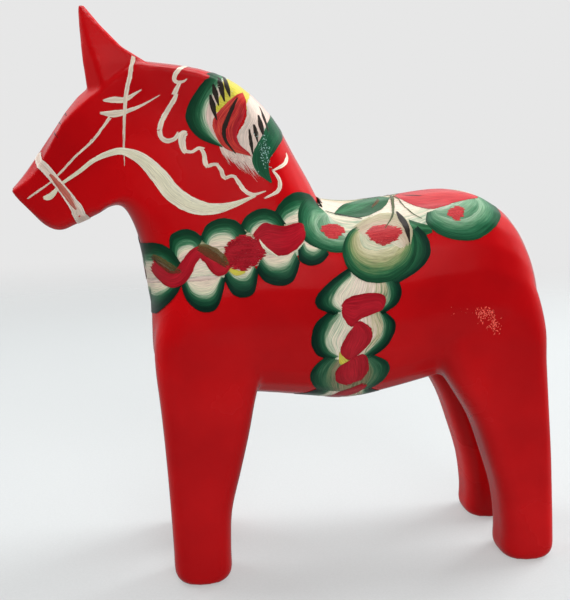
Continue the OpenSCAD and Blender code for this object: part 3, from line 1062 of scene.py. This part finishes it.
# Each finish: its colours across the stroke, then how far streaks mix them, how thin it
# is and how ragged its ends are.
FINISHES = {
    "cream": (
        ((0, (236, 230, 210)), (0.3, (226, 221, 194)), (0.7, (222, 216, 188)), (1, (234, 227, 206))),
        0.3, 0.06,
    ),
    "strand": (
        ((0, (234, 227, 210)), (0.35, (222, 206, 186)), (0.65, (220, 204, 184)), (1, (233, 227, 209))),
        0.3, 0.06,
    ),
    "band": (
        ((0, (236, 229, 215)), (0.4, (226, 204, 188)), (0.65, (224, 202, 186)), (1, (236, 229, 215))),
        0.4, 0.12,
    ),
    "cream_olive": (
        (
            (0, PALE_GREEN), (0.25, CREAM), (0.6, PINK_WHITE), (0.85, (196, 186, 150)),
            (1, (120, 140, 104)),
        ),
        0.7, 0.06,
    ),
    "pink_white": (((0, (212, 196, 184)), (0.5, PINK_WHITE), (1, (208, 176, 166))), 0.6, 0.1, 1.5),
    "heart": (
        ((0, (232, 208, 190)), (0.4, (230, 216, 192)), (0.75, (200, 202, 172)), (1, PALE_GREEN)),
        0.7, 0.05,
    ),
    "heart_green": (
        ((0, (186, 200, 180)), (0.35, (120, 156, 126)), (0.7, (92, 136, 104)), (1, (70, 120, 88))),
        0.7, 0.0,
    ),
    "heart_olive": (
        ((0, (64, 98, 68)), (0.3, (128, 122, 90)), (0.6, (152, 140, 110)), (1, (56, 104, 72))),
        0.8, 0.05,
    ),
    "leaf_green": (
        (
            (0, (208, 206, 182)), (0.1, (150, 172, 144)), (0.26, (66, 120, 86)), (0.46, (26, 84, 54)),
            (0.72, DARK_GREEN), (1, (12, 48, 34)),
        ),
        0.4, 0.0,
    ),
    "leaf_dark": (
        (
            (0, (190, 194, 168)), (0.1, (128, 154, 124)), (0.26, (44, 98, 68)), (0.48, (18, 68, 46)),
            (0.72, (10, 44, 32)), (1, (9, 34, 26)),
        ),
        0.4, 0.0,
    ),
    "leaf_deep": (
        ((0, (34, 96, 62)), (0.4, (20, 74, 48)), (0.7, (10, 48, 34)), (1, (9, 38, 28))),
        0.4, 0.0,
    ),
    "leaf_mixed": (
        ((0, (104, 122, 88)), (0.25, (64, 108, 78)), (0.55, (28, 82, 56)), (1, (12, 50, 36))),
        0.8, 0.0,
    ),
    "leaf_mottled": (
        ((0, (32, 94, 62)), (0.3, (16, 66, 44)), (0.6, (28, 88, 58)), (1, (13, 58, 38))),
        0.9, 0.0,
    ),
    "leaf_plain": (
        (
            (0, (26, 84, 48)), (0.3, (18, 76, 44)), (0.6, (56, 118, 80)), (0.8, (34, 100, 58)),
            (1, (20, 76, 46)),
        ),
        0.8, 0.0,
    ),
    "apple": (
        (
            (0, (206, 198, 164)), (0.3, (164, 162, 118)), (0.5, (112, 136, 86)), (0.7, (40, 100, 62)),
            (0.86, (18, 74, 46)), (1, DARK_GREEN),
        ),
        0.35, 0.0,
    ),
    "apple_green": (
        (
            (0, (140, 170, 142)), (0.25, (94, 140, 106)), (0.55, (42, 102, 70)), (0.8, (22, 78, 50)),
            (1, DARK_GREEN),
        ),
        0.5, 0.0,
    ),
    "apple_light": (((0, CREAM), (0.5, (208, 184, 162)), (1, (192, 186, 150))), 0.7, 0.2, 2.5),
    "petal_red": (
        (
            (0, (176, 26, 38)), (0.22, (150, 16, 28)), (0.36, (196, 56, 46)), (0.5, (158, 18, 30)),
            (0.7, (200, 70, 52)), (0.84, (162, 20, 32)), (1, (196, 70, 56)),
        ),
        0.5, 0.0,
    ),
    "petal_pink": (((0, (182, 38, 48)), (0.5, (198, 66, 68)), (1, (178, 32, 42))), 0.9, 0.05, 1.2),
    "crimson": (((0, (156, 14, 30)), (0.5, (178, 24, 40)), (1, (150, 12, 28))), 0.9, 0.0, 1.6),
    "thin_red": (((0, (206, 116, 100)), (1, (192, 80, 66))), 0.5, 0.2),
    "thin_olive": (((0, (110, 96, 54)), (0.5, (96, 72, 44)), (1, (118, 58, 40))), 0.6, 0.25, 1.6),
    "stem": (((0, (36, 56, 34)), (0.6, (84, 96, 58)), (1, (50, 48, 32))), 0.6, 0.1),
    "yellow": (((0, (214, 204, 70)), (1, (202, 188, 84))), 0.5, 0.08),
    "soot": (((0, (36, 34, 30)), (1, (50, 40, 36))), 0.5, 0.05),
    # Painted highlight flecks that stand for glints of light on the varnish of the haunch.
    "highlight_fleck": (((0, (224, 48, 44)), (0.5, (255, 112, 96)), (1, (236, 62, 52))), 1.0, 0.0),
    # Painted reflection flecks that stand for glints of light on the mane's leaf.
    "glint_fleck": (((0, (96, 150, 140)), (0.5, (168, 200, 192)), (1, (110, 160, 148))), 0.9, 0.0),
}


# ------------------------------------------------------------------ the horse

skin = Skin()
lacquer = lacquer_material()
pine = bare_pine_material()
cuts = {"left_board": (None, -SEAM), "centre_board": (-SEAM, SEAM), "right_board": (SEAM, None)}
for board, (low, high) in cuts.items():
    piece = board_piece(skin, "carved_" + board, low, high)
    piece.data.materials.append(lacquer)
    piece.data.materials.append(pine)
    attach(piece, "root")
    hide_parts(board)

brushes = {name: brush_material("paint_" + name, *looks) for name, looks in FINISHES.items()}
PATTERNS = (bridle, mane, collar, saddle, girth, haunch_highlights)
FLANKS = (("left", -1, 0.0), ("right", 1, 0.35))
for number, pattern in enumerate(PATTERNS):
    for flank, hand, unsteady in FLANKS:
        paint = Paint(skin, hand, unsteady, seed=10 * number + hand)
        pattern(paint)
        paint.piece(f"painted_{pattern.__name__}_{flank}", brushes)

# ------------------------------------------------------------------ camera and studio

CAMERA_SPOT = Vector((-55.3, -349, 185)) * MM  # at neck height, a little to the head's side
CAMERA_YAW = 0.146  # radians that it looks towards the tail
CAMERA_PITCH = 0.174  # and down
HEART = (0, 0, 0.13)  # what the lamps aim at
FLOOR_CLEAR = 0.45  # radius of full cover, in metres
FLOOR_END = 1.25
FLOOR_DROP = 0.2 * MM  # keeps the floor out of the soles
BACKGROUND = linear(231, 231, 231)


def add_camera():
    """The camera, looking slightly down."""
    data = bpy.data.cameras.new("camera")
    data.sensor_width = 36
    data.lens = 45.6
    data.clip_start = 0.01
    camera = place_object("camera", data)
    level = math.cos(CAMERA_PITCH)
    ahead = Vector((math.sin(CAMERA_YAW), math.cos(CAMERA_YAW), 0)) * level
    look = ahead - Vector((0, 0, math.sin(CAMERA_PITCH)))
    camera.location = CAMERA_SPOT
    camera.rotation_euler = look.to_track_quat("-Z", "Y").to_euler()
    bpy.context.scene.camera = camera


def softbox(name, spot, size, watts, glossy=True):
    """A square area light; one that isn't glossy lights without being mirrored."""
    data = bpy.data.lights.new(name, "AREA")
    data.size = size
    data.energy = watts
    lamp = place_object(name, data)
    lamp.location = spot
    way = Vector(HEART) - Vector(spot)
    lamp.rotation_euler = way.to_track_quat("-Z", "Y").to_euler()
    lamp.visible_glossy = glossy


def add_floor():
    """A pale disc that glows a little, so that shadows stay light, and melts into the background."""
    bm = bmesh.new()
    bmesh.ops.create_circle(bm, cap_ends=True, segments=96, radius=FLOOR_END)
    mesh = bpy.data.meshes.new("floor")
    bm.to_mesh(mesh)
    bm.free()
    floor = place_object("floor", mesh)
    floor.location.z = -FLOOR_DROP
    floor.visible_glossy = False
    material, tree, shader = new_material("floor")
    set_up(shader, Roughness=0.6, Specular_IOR_Level=0.2, Emission_Color=(1.0, 1.0, 0.99, 1))
    spot = tree.nodes.new("ShaderNodeNewGeometry").outputs["Position"]
    reach = add_node(tree, "ShaderNodeVectorMath", operation="LENGTH")
    tree.links.new(spot, reach.inputs[0])
    fade = add_node(tree, "ShaderNodeMapRange", interpolation_type="SMOOTHSTEP")
    set_up(fade, From_Min=FLOOR_CLEAR, From_Max=FLOOR_END, To_Min=1, To_Max=0)
    glow = add_node(tree, "ShaderNodeMapRange", From_Min=0.12, From_Max=0.7, To_Min=0.36, To_Max=0.28)
    for node, socket in ((fade, "Alpha"), (glow, "Emission Strength")):
        tree.links.new(reach.outputs["Value"], node.inputs["Value"])
        tree.links.new(node.outputs[0], shader.inputs[socket])
    grain = noise(tree, spot, 900, detail=2)
    tint = ramp(tree, grain, ((0.3, linear(128, 132, 133)), (0.7, linear(134, 138, 139))))
    tree.links.new(tint, shader.inputs["Base Color"])
    mesh.materials.append(material)
    floor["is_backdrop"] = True


def add_studio():
    """Even pale background for the camera; for the horse, bright above and behind, dark in front."""
    world = bpy.data.worlds.new("studio")
    bpy.context.scene.world = world
    world.use_nodes = True
    tree = world.node_tree
    way = tree.nodes.new("ShaderNodeTexCoord").outputs["Generated"]
    split = tree.nodes.new("ShaderNodeSeparateXYZ")
    tree.links.new(way, split.inputs[0])
    back = math_node(tree, "MULTIPLY_ADD", split.outputs[1], 0.5, 0.5)
    sky = (0.8, 0.8, 0.81)
    back = ramp(tree, back, ((0.0, grey(0.05)), (0.3, grey(0.08)), (0.62, grey(0.5)), (1.0, sky)))
    high = math_node(tree, "MULTIPLY_ADD", split.outputs[2], 0.5, 0.5)
    high = ramp(tree, high, ((0.0, grey(0.3)), (0.4, grey(0.4)), (0.56, grey(0.75)), (1.0, grey(1.0))))
    studio = mix_colour(tree, 1.0, back, high, blend="MULTIPLY")
    rays = tree.nodes.new("ShaderNodeLightPath")
    seen = mix_colour(tree, rays.outputs["Is Camera Ray"], studio, BACKGROUND)
    shell = tree.nodes["Background"]
    tree.links.new(seen, shell.inputs["Color"])
    set_up(shell, Strength=1.0)


add_camera()
softbox("overhead", (-0.15, 0.1, 1.3), 1.1, 11)
softbox("front_fill", (0.1, -1.35, 0.95), 0.9, 15.5, glossy=False)
softbox("left_key", (-1.15, 0.55, 0.8), 0.8, 13, glossy=False)
softbox("right_rim", (1.15, 0.4, 0.75), 0.8, 32, glossy=False)
add_floor()
add_studio()
bpy.context.scene.view_settings.view_transform = "Standard"

low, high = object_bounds()
